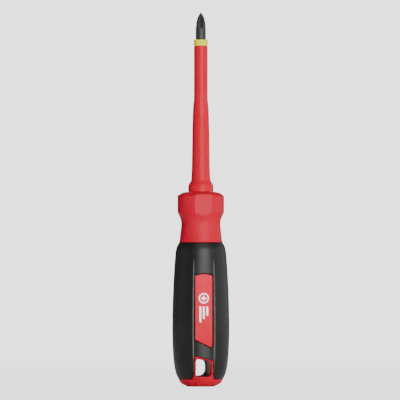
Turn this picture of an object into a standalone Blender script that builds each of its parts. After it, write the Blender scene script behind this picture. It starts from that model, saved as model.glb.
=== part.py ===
"""Insulated cross-tip screwdriver: steel blade, two insulation layers, three-shot handle.

Everything is in metres, +Z up. The origin is the centre of the butt's flat end,
+Z runs up the blade to its tip, and the badge and the hang hole's rim face -Y.
"""

import math

import bmesh
import bpy
from mathutils import Matrix, Vector

MM = 0.001

# Clearances that keep touching pieces apart.
GAP = 0.3 * MM
LAYER_GAP = 0.1 * MM
BADGE_GAP = 0.55 * MM

# Steps round the turned pieces.
FINE_STEPS = 48
SLIM_STEPS = 32
SHARP_ANGLE = math.radians(30.0)

# Blade: a No. 2 cross tip on a round shank.
BLADE_TIP_Z = 226.1 * MM
BLADE_TANG_Z = 30.0 * MM
SHANK_R = 3.1 * MM
WING_SPAN = 10.4 * MM
WING_THICK = 2.2 * MM
WING_LENGTH = 14.0 * MM
WING_Z = (49.0 * MM, 69.0 * MM)

# Insulation on the blade.
UNDER_R = 3.55 * MM
UNDER_FOOT_Z = 92.0 * MM
RING_R = 4.28 * MM
RING_Z = (206.3 * MM, 209.9 * MM)
SLEEVE_TOP_Z = 206.1 * MM
SLEEVE_TOP_R = 4.15 * MM
SLEEVE_NECK_R = 5.6 * MM
COLLAR_R = 7.65 * MM
FOOT_R = 7.2 * MM
FOOT_Z = (98.6 * MM, 101.0 * MM)

# Hard handle shell: nose, neck, hidden core and butt.
NOSE_FACE_Z = 117.8 * MM
NOSE_R = 14.1 * MM
NOSE_FLAT = 13.2 * MM
NOSE_FLAT_Z = (101.0 * MM, 119.0 * MM)
SEAM_Z = 87.6 * MM
LAND_R = 11.5 * MM
CORE_R = 12.3 * MM
GROOVE_R = 11.2 * MM
GROOVE_WIDTH = 3.0 * MM
GROOVE_Z = (30.0 * MM, 42.0 * MM, 54.0 * MM, 66.0 * MM)
BUTT_TOP_Z = 4.2 * MM
BUTT_FLAT_R = 7.75 * MM

# First-shot core round the tang.
TANG_CORE_R = 8.6 * MM
TANG_CORE_Z = (26.0 * MM, 98.0 * MM)
RIB_WIDTH = 3.0 * MM
RIB_OUT = 1.5 * MM
RIB_Z = (34.0 * MM, 86.0 * MM)
RIB_FACING = [math.radians(45 + 90 * i) for i in range(4)]

# Grip: round lobes with three channels whose floors are round about the axis.
GRIP_FOOT_Z = BUTT_TOP_Z + GAP
GRIP_TOP_Z = 87.3 * MM
CHANNEL_HALF = 6.1 * MM
CHANNEL_WALL_SLOPE = 1.2
CHANNEL_FLOOR_R = 15.5 * MM
LEAST_WALL = math.radians(1.0)
SECTORS = 3

# Outer side of the handle as (height, distance from the axis).
HANDLE_SIDE = (
    (0.0 * MM, BUTT_FLAT_R),
    (0.95 * MM, 10.1 * MM),
    (2.2 * MM, 12.1 * MM),
    (BUTT_TOP_Z, 13.3 * MM),
    (8.1 * MM, 15.1 * MM),
    (14.8 * MM, 16.4 * MM),
    (24.0 * MM, 17.05 * MM),
    (35.0 * MM, 17.3 * MM),
    (50.0 * MM, 17.05 * MM),
    (65.0 * MM, 16.45 * MM),
    (78.0 * MM, 15.6 * MM),
    (82.5 * MM, 15.1 * MM),
    (85.0 * MM, 14.35 * MM),
    (GRIP_TOP_Z, 13.1 * MM),
)
NECK_SIDE = (
    (SEAM_Z, 12.85 * MM),
    (90.5 * MM, 12.65 * MM),
    (94.5 * MM, 12.15 * MM),
    (98.7 * MM, 11.87 * MM),
    (101.3 * MM, 12.3 * MM),
    (103.7 * MM, 13.27 * MM),
    (105.0 * MM, 13.9 * MM),
    (106.1 * MM, NOSE_R),
)

# Heights of the lofted rings.
GRIP_RINGS = [GRIP_FOOT_Z] + [
    height * MM
    for height in (6.0, 8.1, 11.0, 14.8, 20.0, 27.0, 35.0, 45.0, 55.0, 65.0, 72.0, 78.0)
    + (81.0, 82.7, 83.9, 85.0, 86.2)
] + [GRIP_TOP_Z]
BOSS_RINGS = [3.0 * MM, BUTT_TOP_Z, 6.0 * MM, 8.1 * MM, 11.0 * MM, 14.8 * MM, 20.0 * MM]

# Badge plate: arched top, slanted foot. Corners as (x, z, corner radius).
BADGE_FRONT = 14.55 * MM
BADGE_BACK = 13.2 * MM
BADGE_CORNERS = (
    (-5.4 * MM, 27.9 * MM, 1.6 * MM),
    (5.4 * MM, 23.3 * MM, 1.2 * MM),
    (5.4 * MM, 67.4 * MM, 1.2 * MM),
    (0.0 * MM, 68.7 * MM, 8.0 * MM),
    (-5.4 * MM, 67.4 * MM, 1.2 * MM),
)
PEG_R = 1.0 * MM
PEG_LENGTH = 2.0 * MM
PEG_Z = (36.0 * MM, 60.0 * MM)

# Hang hole and the red rim round its front mouth.
HOLE_CORNERS = (
    (-4.6 * MM, 6.1 * MM, 1.9 * MM),
    (4.6 * MM, 6.1 * MM, 1.9 * MM),
    (4.6 * MM, 15.4 * MM, 1.7 * MM),
    (-4.6 * MM, 17.4 * MM, 1.7 * MM),
)
RIM_CORNERS = (
    (-6.7 * MM, 3.0 * MM, 0.0),
    (6.7 * MM, 3.0 * MM, 0.0),
    (6.5 * MM, 4.6 * MM, 0.0),
    (5.6 * MM, 7.6 * MM, 0.0),
    (5.6 * MM, 16.1 * MM, 1.2 * MM),
    (-5.6 * MM, 18.8 * MM, 1.2 * MM),
    (-5.6 * MM, 7.6 * MM, 0.0),
    (-6.5 * MM, 4.6 * MM, 0.0),
)
RIM_BACK = 8.0 * MM
PAD_BACK = 9.6 * MM
FAR = 22.0 * MM

# Flute of the cross tip: distance of its bottom from the axis at each height.
FLUTES = 4
FLUTE_LINE = (
    (215.7 * MM, 3.5 * MM),
    (216.7 * MM, 2.4 * MM),
    (217.9 * MM, 1.65 * MM),
    (219.8 * MM, 1.15 * MM),
    (222.0 * MM, 0.85 * MM),
    (227.0 * MM, 0.45 * MM),
)
FLUTE_REACH = 6.0 * MM
FLUTE_HALF_ANGLE = math.radians(46.0)


def clear_scene():
    for obj in list(bpy.data.objects):
        bpy.data.objects.remove(obj, do_unlink=True)


def new_collection(name):
    collection = bpy.data.collections.new(name)
    bpy.context.scene.collection.children.link(collection)
    return collection


def principled(name, colour, roughness, metallic=0.0):
    material = bpy.data.materials.new(name)
    material.use_nodes = True
    shader = material.node_tree.nodes["Principled BSDF"]
    shader.inputs["Base Color"].default_value = (*colour, 1.0)
    shader.inputs["Roughness"].default_value = roughness
    shader.inputs["Metallic"].default_value = metallic
    material.diffuse_color = (*colour, 1.0)
    return material


def add_object(name, mesh, collection, material=None):
    obj = bpy.data.objects.new(name, mesh)
    collection.objects.link(obj)
    if material:
        mesh.materials.append(material)
    return obj


def add_cutter(name, mesh):
    obj = add_object(name, mesh, cutters)
    obj.hide_render = True
    obj.display_type = "WIRE"
    return obj


def combine(obj, other, operation):
    """Add a Boolean of the other object to this one."""
    modifier = obj.modifiers.new(other.name, "BOOLEAN")
    modifier.operation = operation
    modifier.solver = "EXACT"
    modifier.object = other


def smooth_curve(points, height):
    """Distance at this height on a smooth curve through (height, distance) points."""
    last = len(points) - 1
    spot = next((i for i in range(last) if height <= points[i + 1][0]), last - 1)

    def slope(i):
        low, high = points[max(i - 1, 0)], points[min(i + 1, last)]
        return (high[1] - low[1]) / (high[0] - low[0])

    (z0, d0), (z1, d1) = points[spot], points[spot + 1]
    span = z1 - z0
    t = min(max((height - z0) / span, 0.0), 1.0)
    return (
        d0 * (2 * t**3 - 3 * t**2 + 1)
        + d1 * (3 * t**2 - 2 * t**3)
        + slope(spot) * span * (t**3 - 2 * t**2 + t)
        + slope(spot + 1) * span * (t**3 - t**2)
    )


def curve_profile(points, count):
    """(distance, height) steps down a smooth curve, from its highest point to its lowest."""
    top, bottom = points[-1][0], points[0][0]
    heights = [top + (bottom - top) * i / count for i in range(count + 1)]
    return [(smooth_curve(points, height), height) for height in heights]


def turned_mesh(name, profile, closed):
    """Profile of (distance, height) points as a line of edges in the XZ plane."""
    mesh = bpy.data.meshes.new(name)
    edges = [(i, i + 1) for i in range(len(profile) - 1)]
    if closed:
        edges.append((len(profile) - 1, 0))
    mesh.from_pydata([(distance, 0.0, height) for distance, height in profile], edges, [])
    return mesh


def turn(obj, steps):
    """Spin the object's profile round Z with a Screw modifier."""
    modifier = obj.modifiers.new("turn", "SCREW")
    modifier.axis = "Z"
    modifier.angle = math.tau
    modifier.steps = steps
    modifier.render_steps = steps
    modifier.use_merge_vertices = True
    modifier.merge_threshold = 0.00001
    modifier.use_smooth_shade = True


def add_turned(name, profile, material, steps=FINE_STEPS, closed=False):
    obj = add_object(name, turned_mesh(name, profile, closed), parts, material)
    turn(obj, steps)
    return obj


def add_turned_cutter(name, profile, steps=FINE_STEPS, closed=False):
    obj = add_cutter(name, turned_mesh(name, profile, closed))
    turn(obj, steps)
    return obj


def outward(start, end):
    """Outward normal of an edge of an anticlockwise outline."""
    along = (Vector(end[:2]) - Vector(start[:2])).normalized()
    return Vector((along.y, -along.x))


def rounded_outline(corners, grow=0.0, arc_steps=4):
    """Anticlockwise outline through (x, z, radius) corners, rounded, pushed outwards by grow."""
    points = []
    count = len(corners)
    for i, (x, z, radius) in enumerate(corners):
        corner = Vector((x, z))
        last, following = corners[i - 1], corners[(i + 1) % count]
        into, out_of = outward(last, corners[i]), outward(corners[i], following)
        mitre = (into + out_of) / (1 + into.dot(out_of))
        if radius == 0.0:
            points.append(corner + mitre * grow)
            continue
        centre = corner - mitre * radius
        for step in range(arc_steps + 1):
            away = into.slerp(out_of, step / arc_steps)
            points.append(centre + away * (radius + grow))
    return points


def plate_mesh(name, outline, front, back):
    """Outline of (x, z) points extruded along Y, from y = -front to y = -back."""
    curve = bpy.data.curves.new(name, "CURVE")
    curve.dimensions = "2D"
    curve.fill_mode = "BOTH"
    curve.extrude = (front - back) / 2
    spline = curve.splines.new("POLY")
    spline.points.add(len(outline) - 1)
    for point, (x, z) in zip(spline.points, outline):
        point.co = (x, z, 0.0, 1.0)
    spline.use_cyclic_u = True
    guide = bpy.data.objects.new(name + "_guide", curve)
    bpy.context.scene.collection.objects.link(guide)
    bpy.context.view_layer.update()
    graph = bpy.context.evaluated_depsgraph_get()
    mesh = bpy.data.meshes.new_from_object(guide.evaluated_get(graph))
    bpy.data.objects.remove(guide, do_unlink=True)
    stand_up = Matrix.Translation((0, -(front + back) / 2, 0)) @ Matrix.Rotation(math.pi / 2, 4, "X")
    mesh.transform(stand_up)
    shape = bmesh.new()
    shape.from_mesh(mesh)
    bmesh.ops.remove_doubles(shape, verts=shape.verts, dist=0.000001)
    bmesh.ops.recalc_face_normals(shape, faces=shape.faces)
    shape.to_mesh(mesh)
    shape.free()
    mesh.name = name
    return mesh


def box_mesh(name, low, high, turn_z=0.0):
    """Box between two corners, then turned about Z."""
    size = Vector(high) - Vector(low)
    middle = (Vector(high) + Vector(low)) / 2
    place = (
        Matrix.Rotation(turn_z, 4, "Z")
        @ Matrix.Translation(middle)
        @ Matrix.Diagonal((*size, 1.0))
    )
    mesh = bpy.data.meshes.new(name)
    shape = bmesh.new()
    bmesh.ops.create_cube(shape, size=1.0, matrix=place)
    shape.to_mesh(mesh)
    shape.free()
    return mesh


def loft_mesh(name, rings):
    """Closed skin through rings of equal point counts, each running anticlockwise, lowest first."""
    mesh = bpy.data.meshes.new(name)
    shape = bmesh.new()
    loops = [[shape.verts.new(point) for point in ring] for ring in rings]
    count = len(rings[0])
    for lower, upper in zip(loops, loops[1:]):
        for i in range(count):
            j = (i + 1) % count
            shape.faces.new((lower[i], lower[j], upper[j], upper[i]))
    shape.faces.new(list(reversed(loops[0])))
    shape.faces.new(loops[-1])
    shape.to_mesh(mesh)
    shape.free()
    mesh.shade_smooth()
    mesh.set_sharp_from_angle(angle=SHARP_ANGLE)
    return mesh


def lobe_section(height):
    """Anticlockwise ring of the handle at this height: round lobes, three channels, one facing -Y."""
    side = smooth_curve(HANDLE_SIDE, height)
    floor = min(CHANNEL_FLOOR_R, side)
    floor_edge = math.asin(CHANNEL_HALF / floor)
    lip_edge = floor_edge
    if side > floor:
        # The wall starts at the floor's edge and climbs until it meets the round side.
        base = math.sqrt(floor**2 - CHANNEL_HALF**2) - CHANNEL_WALL_SLOPE * CHANNEL_HALF
        square = 1 + CHANNEL_WALL_SLOPE**2
        across = CHANNEL_WALL_SLOPE * base
        lip_x = (math.sqrt(across**2 - square * (base**2 - side**2)) - across) / square
        lip_edge = math.asin(lip_x / side)
    lip_edge = max(lip_edge, floor_edge + LEAST_WALL)
    half_sector = math.pi / SECTORS
    half = [(floor_edge * 0.5, floor), (floor_edge, floor), (lip_edge, side)]
    half += [(lip_edge + (half_sector - lip_edge) * i / 5, side) for i in range(1, 5)]
    sector = [(-angle, distance) for angle, distance in reversed(half)]
    sector += [(0.0, floor)] + half + [(half_sector, side)]
    ring = []
    for k in range(SECTORS):
        facing = -math.pi / 2 + math.tau * k / SECTORS
        for angle, distance in sector:
            spot = facing + angle
            ring.append(Vector((distance * math.cos(spot), distance * math.sin(spot), height)))
    return ring


def flute_mesh(name, facing):
    """Wedge that cuts one flute of the cross tip, its edge on the flute's bottom line."""
    rings = []
    for height, bottom in FLUTE_LINE:
        spread = FLUTE_REACH * math.tan(FLUTE_HALF_ANGLE)
        ring = [(bottom, 0.0), (bottom + FLUTE_REACH, -spread), (bottom + FLUTE_REACH, spread)]
        rings.append([Matrix.Rotation(facing, 3, "Z") @ Vector((x, y, height)) for x, y in ring])
    return loft_mesh(name, rings)


def wing_boxes(margin):
    """The tang's two pairs of stamped wings, as box corners, grown by the margin."""
    for height, along_x in zip(WING_Z, (True, False)):
        wide = WING_SPAN / 2 + margin
        thick = WING_THICK / 2 + margin
        tall = WING_LENGTH / 2 + margin
        x, y = (wide, thick) if along_x else (thick, wide)
        yield (-x, -y, height - tall), (x, y, height + tall)


def rib_corners(margin):
    """One anti-turn rib of the tang core, grown by the margin."""
    low = (TANG_CORE_R - 1.5 * MM, -RIB_WIDTH / 2 - margin, RIB_Z[0] - margin)
    high = (TANG_CORE_R + RIB_OUT + margin, RIB_WIDTH / 2 + margin, RIB_Z[1] + margin)
    return low, high


def make_blade():
    steel = principled("black_oxide_steel", (0.055, 0.055, 0.06), 0.38, 0.85)
    profile = [
        (0.0, BLADE_TIP_Z),
        (0.45 * MM, BLADE_TIP_Z),
        (0.85 * MM, 225.4 * MM),
        (2.15 * MM, 223.2 * MM),
        (2.62 * MM, 222.0 * MM),
        (2.93 * MM, 220.6 * MM),
        (3.06 * MM, 219.4 * MM),
        (SHANK_R, 217.8 * MM),
        (SHANK_R, BLADE_TANG_Z + 1.5 * MM),
        (2.0 * MM, BLADE_TANG_Z),
        (0.0, BLADE_TANG_Z),
    ]
    blade = add_turned("blade", profile, steel, SLIM_STEPS)
    for i, (low, high) in enumerate(wing_boxes(0.0)):
        combine(blade, add_cutter(f"tang_wing_{i}", box_mesh("tang_wing", low, high)), "UNION")
    for i in range(FLUTES):
        facing = math.tau * i / FLUTES
        combine(blade, add_cutter(f"flute_{i}", flute_mesh("flute", facing)), "DIFFERENCE")


def make_under_sleeve():
    yellow = principled("yellow_inner_insulation", (0.87, 0.78, 0.05), 0.42)
    inner = SHANK_R + LAYER_GAP
    bottom, top = RING_Z
    profile = [
        (inner, top),
        (RING_R - 0.3 * MM, top),
        (RING_R, top - 0.3 * MM),
        (RING_R, bottom),
        (UNDER_R, bottom),
        (UNDER_R, UNDER_FOOT_Z),
        (inner, UNDER_FOOT_Z),
    ]
    add_turned("under_sleeve", profile, yellow, SLIM_STEPS, closed=True)


def make_outer_sleeve():
    red = principled("red_outer_insulation", (0.66, 0.035, 0.04), 0.4)
    inner = UNDER_R + LAYER_GAP
    collar_foot = NOSE_FACE_Z + GAP
    profile = [
        (inner, SLEEVE_TOP_Z),
        (SLEEVE_TOP_R - 0.15 * MM, SLEEVE_TOP_Z),
        (SLEEVE_TOP_R, SLEEVE_TOP_Z - 0.2 * MM),
        (SLEEVE_TOP_R, 175.2 * MM),
        (4.24 * MM, 173.2 * MM),
        (4.42 * MM, 171.4 * MM),
        (4.66 * MM, 169.2 * MM),
        (4.86 * MM, 165.0 * MM),
        (5.16 * MM, 154.0 * MM),
        (5.5 * MM, 131.0 * MM),
        (5.75 * MM, 125.7 * MM),
        (5.95 * MM, 124.6 * MM),
        (6.45 * MM, 123.7 * MM),
        (7.2 * MM, 122.5 * MM),
        (7.55 * MM, 121.4 * MM),
        (COLLAR_R, 120.0 * MM),
        (COLLAR_R, collar_foot),
        (SLEEVE_NECK_R, collar_foot),
        (SLEEVE_NECK_R, FOOT_Z[1]),
        (FOOT_R, FOOT_Z[1]),
        (FOOT_R, FOOT_Z[0]),
        (inner, FOOT_Z[0]),
    ]
    add_turned("outer_sleeve", profile, red, SLIM_STEPS, closed=True)


def make_tang_core():
    """Glass-filled core moulded round the winged tang: ribs stop it turning in the shell."""
    grey = principled("grey_core_plastic", (0.16, 0.16, 0.17), 0.55)
    foot, top = TANG_CORE_Z
    bore = SHANK_R + GAP
    socket = UNDER_R + GAP
    chamfer = 0.6 * MM
    profile = [
        (0.0, BLADE_TANG_Z - GAP),
        (bore, BLADE_TANG_Z - GAP),
        (bore, UNDER_FOOT_Z - GAP),
        (socket, UNDER_FOOT_Z - GAP),
        (socket, top),
        (TANG_CORE_R - chamfer, top),
        (TANG_CORE_R, top - chamfer),
        (TANG_CORE_R, foot + chamfer),
        (TANG_CORE_R - chamfer, foot),
        (0.0, foot),
    ]
    core = add_turned("tang_core", profile, grey, SLIM_STEPS)
    for i, (low, high) in enumerate(wing_boxes(GAP)):
        combine(core, add_cutter(f"wing_pocket_{i}", box_mesh("wing_pocket", low, high)), "DIFFERENCE")
    for i, facing in enumerate(RIB_FACING):
        mesh = box_mesh("core_rib", *rib_corners(0.0), facing)
        combine(core, add_cutter(f"core_rib_{i}", mesh), "UNION")


def hidden_core_side(margin, top, foot):
    """Grooved side of the shell's hidden core, top to foot, moved outwards by the margin."""
    land = (LAND_R + margin, 80.0 * MM)
    side = [(LAND_R + margin, top), land, (CORE_R + margin, land[1] - 1.0 * MM)]
    for middle in reversed(GROOVE_Z):
        half = GROOVE_WIDTH / 2 - margin
        slope = 0.8 * MM
        side += [
            (CORE_R + margin, middle + half + slope),
            (GROOVE_R + margin, middle + half),
            (GROOVE_R + margin, middle - half),
            (CORE_R + margin, middle - half - slope),
        ]
    return side + [(CORE_R + margin, foot)]


def make_handle_shell(envelope):
    """Red hard shell: nose with flats, neck, butt, and a boss for the hang hole's rim."""
    red = principled("red_handle_plastic", (0.6, 0.03, 0.035), 0.36)
    core_top = TANG_CORE_Z[1] + GAP
    cavity_r = TANG_CORE_R + GAP
    profile = [
        (0.0, TANG_CORE_Z[0] - GAP),
        (cavity_r, TANG_CORE_Z[0] - GAP),
        (cavity_r, core_top),
        (FOOT_R + GAP, core_top),
        (FOOT_R + GAP, FOOT_Z[1] + GAP),
        (SLEEVE_NECK_R + GAP, FOOT_Z[1] + GAP),
        (SLEEVE_NECK_R + GAP, NOSE_FACE_Z),
        (8.8 * MM, NOSE_FACE_Z),
        (11.2 * MM, NOSE_FACE_Z - 0.6 * MM),
        (13.0 * MM, NOSE_FACE_Z - 1.6 * MM),
        (13.8 * MM, NOSE_FACE_Z - 2.3 * MM),
        (NOSE_R, NOSE_FACE_Z - 3.0 * MM),
    ]
    profile += curve_profile(NECK_SIDE, 9)
    profile += hidden_core_side(0.0, SEAM_Z, BUTT_TOP_Z)
    for height in (BUTT_TOP_Z, 3.2 * MM, 2.2 * MM, 1.5 * MM, 0.95 * MM, 0.45 * MM, 0.0):
        profile.append((smooth_curve(HANDLE_SIDE, height), height))
    profile.append((0.0, 0.0))
    shell = add_turned("handle_shell", profile, red)

    for i in range(SECTORS):
        low = (-NOSE_R, -NOSE_R - 5.0 * MM, NOSE_FLAT_Z[0])
        high = (NOSE_R, -NOSE_FLAT, NOSE_FLAT_Z[1])
        mesh = box_mesh("nose_flat", low, high, math.tau * i / SECTORS)
        combine(shell, add_cutter(f"nose_flat_{i}", mesh), "DIFFERENCE")
    for i, facing in enumerate(RIB_FACING):
        mesh = box_mesh("rib_slot", *rib_corners(GAP), facing)
        combine(shell, add_cutter(f"rib_slot_{i}", mesh), "DIFFERENCE")

    rim = add_cutter("rim_boss", plate_mesh("rim_boss", rounded_outline(RIM_CORNERS), FAR, RIM_BACK))
    combine(rim, envelope, "INTERSECT")
    combine(shell, rim, "UNION")
    pad_front = BADGE_BACK - GAP
    pad_outline = rounded_outline(BADGE_CORNERS, -0.8 * MM)
    pad = add_cutter("badge_pad", plate_mesh("badge_pad", pad_outline, pad_front, PAD_BACK))
    combine(shell, pad, "UNION")
    for i, height in enumerate(PEG_Z):
        hole = peg_mesh("peg_hole", height, PEG_R + GAP, PEG_LENGTH + GAP)
        combine(shell, add_cutter(f"peg_hole_{i}", hole), "DIFFERENCE")
    return shell


def peg_mesh(name, height, radius, reach):
    """Locating peg behind the badge, along Y, overlapping the plate a little at its front end."""
    front, back = BADGE_BACK + 0.4 * MM, BADGE_BACK - reach
    mesh = bpy.data.meshes.new(name)
    shape = bmesh.new()
    place = Matrix.Translation((0, -(front + back) / 2, height)) @ Matrix.Rotation(math.pi / 2, 4, "X")
    bmesh.ops.create_cone(
        shape,
        cap_ends=True,
        segments=16,
        radius1=radius,
        radius2=radius,
        depth=front - back,
        matrix=place,
    )
    shape.to_mesh(mesh)
    shape.free()
    return mesh


def make_grip(hole):
    """Soft black grip moulded over the shell, open at the badge and round the hang hole's rim."""
    black = principled("black_grip_rubber", (0.025, 0.025, 0.024), 0.72)
    mesh = loft_mesh("grip", [lobe_section(height) for height in GRIP_RINGS])
    grip = add_object("grip", mesh, parts, black)
    over = 3.0 * MM
    side = hidden_core_side(GAP, GRIP_TOP_Z + over, GRIP_FOOT_Z - over)
    cavity = [(0.0, side[0][1])] + side + [(0.0, side[-1][1])]
    combine(grip, add_turned_cutter("grip_cavity", cavity), "DIFFERENCE")
    window_outline = rounded_outline(BADGE_CORNERS, BADGE_GAP)
    window = plate_mesh("badge_window", window_outline, FAR, RIM_BACK)
    combine(grip, add_cutter("badge_window", window), "DIFFERENCE")
    rim_outline = rounded_outline(RIM_CORNERS, GAP)
    rim_room = plate_mesh("rim_room", rim_outline, FAR, RIM_BACK)
    combine(grip, add_cutter("rim_room", rim_room), "DIFFERENCE")
    combine(grip, hole, "DIFFERENCE")


def make_front_badge():
    red = principled("red_badge_plastic", (0.68, 0.05, 0.06), 0.32)
    outline = rounded_outline(BADGE_CORNERS)
    badge = add_object("front_badge", plate_mesh("front_badge", outline, BADGE_FRONT, BADGE_BACK), parts, red)
    for i, height in enumerate(PEG_Z):
        peg = peg_mesh("badge_peg", height, PEG_R, PEG_LENGTH)
        combine(badge, add_cutter(f"badge_peg_{i}", peg), "UNION")


clear_scene()
parts = new_collection("insulated_screwdriver")
cutters = new_collection("cutters")

handle_envelope = add_cutter(
    "handle_envelope", loft_mesh("handle_envelope", [lobe_section(height) for height in BOSS_RINGS])
)
hang_hole = add_cutter("hang_hole", plate_mesh("hang_hole", rounded_outline(HOLE_CORNERS), FAR, -FAR))

make_blade()
make_under_sleeve()
make_outer_sleeve()
make_tang_core()
combine(make_handle_shell(handle_envelope), hang_hole, "DIFFERENCE")
make_grip(hang_hole)
make_front_badge()
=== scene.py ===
"""Looks of an insulated cross-tip screwdriver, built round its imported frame.

Lengths are in metres. +Z runs up the blade, and the badge and the hang hole's rim face -Y.
"""

import math

import bmesh
import bpy
import numpy as np
from mathutils import Matrix, Vector


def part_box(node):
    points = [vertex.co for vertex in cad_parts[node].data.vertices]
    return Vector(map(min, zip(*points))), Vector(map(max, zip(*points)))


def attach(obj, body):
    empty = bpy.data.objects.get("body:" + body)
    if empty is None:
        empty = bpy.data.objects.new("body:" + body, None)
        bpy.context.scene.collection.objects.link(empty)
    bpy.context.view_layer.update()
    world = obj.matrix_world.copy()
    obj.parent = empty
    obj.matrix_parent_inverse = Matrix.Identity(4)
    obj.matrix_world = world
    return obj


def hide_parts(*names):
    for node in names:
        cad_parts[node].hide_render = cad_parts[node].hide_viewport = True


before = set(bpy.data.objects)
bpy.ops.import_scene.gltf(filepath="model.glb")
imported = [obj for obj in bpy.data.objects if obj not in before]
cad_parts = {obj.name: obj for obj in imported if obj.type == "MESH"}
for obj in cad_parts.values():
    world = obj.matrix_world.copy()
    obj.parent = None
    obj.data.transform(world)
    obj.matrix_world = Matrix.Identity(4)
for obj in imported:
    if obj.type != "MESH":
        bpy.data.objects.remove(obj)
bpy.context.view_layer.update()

MM = 0.001
BODY = "root"


def in_mm(rows):
    """Rows of millimetres as rows of metres."""
    return [tuple(value * MM for value in row) for row in rows]


# Heights and radii read from the frame.
BUTT_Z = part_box("handle_shell")[0].z
NOSE_FACE_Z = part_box("handle_shell")[1].z
NOSE_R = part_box("handle_shell")[1].x
GRIP_FOOT_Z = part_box("grip")[0].z
GRIP_TOP_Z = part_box("grip")[1].z
GRIP_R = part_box("grip")[1].y
TIP_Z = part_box("blade")[1].z
TANG_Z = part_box("blade")[0].z
RING_TOP_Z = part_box("under_sleeve")[1].z
RING_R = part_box("under_sleeve")[1].x
UNDER_FOOT_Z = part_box("under_sleeve")[0].z
SLEEVE_TOP_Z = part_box("outer_sleeve")[1].z
SLEEVE_FOOT_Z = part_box("outer_sleeve")[0].z
COLLAR_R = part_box("outer_sleeve")[1].x
CORE_FOOT_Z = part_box("tang_core")[0].z
CORE_TOP_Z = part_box("tang_core")[1].z
BADGE_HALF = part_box("front_badge")[1].x
BADGE_FRONT = -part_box("front_badge")[0].y
BADGE_FOOT_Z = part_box("front_badge")[0].z
BADGE_CROWN_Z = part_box("front_badge")[1].z

# Handle: outer side as (height, distance from the axis).
SEAM_Z = GRIP_TOP_Z + 0.3 * MM
BUTT_TOP_Z = GRIP_FOOT_Z - 0.3 * MM
HANDLE_SIDE = [
    (BUTT_Z, 7.75 * MM),
    (0.95 * MM, 10.1 * MM),
    (2.2 * MM, 12.1 * MM),
    (BUTT_TOP_Z, 13.3 * MM),
    (8.1 * MM, 15.1 * MM),
    (14.8 * MM, 16.4 * MM),
    (24.0 * MM, 17.05 * MM),
    (35.0 * MM, GRIP_R),
    (50.0 * MM, 17.05 * MM),
    (65.0 * MM, 16.45 * MM),
    (78.0 * MM, 15.6 * MM),
    (82.5 * MM, 15.1 * MM),
    (85.0 * MM, 14.35 * MM),
    (GRIP_TOP_Z, 13.1 * MM),
]
NECK_SIDE = [
    (SEAM_Z + 0.9 * MM, 12.8 * MM),
    (90.5 * MM, 12.65 * MM),
    (94.5 * MM, 12.15 * MM),
    (98.7 * MM, 11.87 * MM),
    (101.3 * MM, 12.3 * MM),
    (103.7 * MM, 13.27 * MM),
    (105.0 * MM, 13.9 * MM),
    (106.1 * MM, NOSE_R),
]
CHANNEL_HALF = 5.95 * MM
CHANNEL_FLOOR_R = 15.5 * MM
CHANNEL_WALL_SLOPE = 2.0
LIP_ROUND = 0.9 * MM
NOSE_FLAT = 13.2 * MM
NOSE_FLAT_ROUND = 0.16 * MM
NOSE_FLAT_TOP = 115.95 * MM
NOSE_FLAT_FOOT = 112.0 * MM
NOSE_FOOT = 106.2 * MM
NECK_WAIST_Z = 98.0 * MM
SHOULDER_FOOT_Z = 72.0 * MM
CORE_R = 12.3 * MM
CORE_HEAD_Z = 79.0 * MM
LAND_R = 11.5 * MM
LAND_FOOT_Z = 80.0 * MM
GAP = 0.3 * MM
SECTORS = 3

# Outlines in (x, z, corner radius).
BADGE_CORNERS = [
    (-BADGE_HALF, BADGE_FOOT_Z + 4.6 * MM, 1.6 * MM),
    (BADGE_HALF, BADGE_FOOT_Z - 0.8 * MM, 1.2 * MM),
    (BADGE_HALF, BADGE_CROWN_Z - 1.2 * MM, 1.2 * MM),
    (0.0, BADGE_CROWN_Z + 0.1 * MM, 8.0 * MM),
    (-BADGE_HALF, BADGE_CROWN_Z - 1.2 * MM, 1.2 * MM),
]
HOLE_CORNERS = in_mm([(-4.6, 6.1, 1.9), (4.6, 6.1, 1.9), (4.6, 15.2, 1.7), (-4.6, 17.4, 1.7)])
BACK_HOLE_CORNERS = in_mm([(-4.6, 6.5, 3.6), (4.2, 6.5, 4.0), (4.2, 16.4, 4.0), (-4.6, 17.3, 3.6)])
RIM_CORNERS = in_mm(
    [
        (-6.7, 3.0, 0.0),
        (6.7, 3.0, 0.0),
        (6.5, 4.6, 0.0),
        (5.6, 7.6, 0.0),
        (5.6, 15.7, 1.2),
        (-5.6, 18.8, 1.2),
        (-5.6, 7.6, 0.0),
        (-6.5, 4.6, 0.0),
    ]
)
BEHIND = 22.0 * MM
POCKET_BACK = 9.6 * MM

# Blade.
SHANK_R = 3.1 * MM
FLUTES = 4
FLUTE_HALF_ANGLE = math.radians(46.0)
FLUTE_LINE = in_mm(
    [(215.7, 3.6), (216.7, 2.4), (217.9, 1.65), (219.8, 1.15), (222.0, 0.85), (227.0, 0.45)]
)
TIP_LINE = [(217.0 * MM, SHANK_R)]
TIP_LINE += in_mm([(218.2, 3.09), (219.4, 3.04), (220.6, 2.92), (222.0, 2.6), (223.2, 2.14)])
TIP_LINE += in_mm([(224.4, 1.46), (225.4, 0.84)])
TIP_LINE += [(TIP_Z, 0.5 * MM)]

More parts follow.
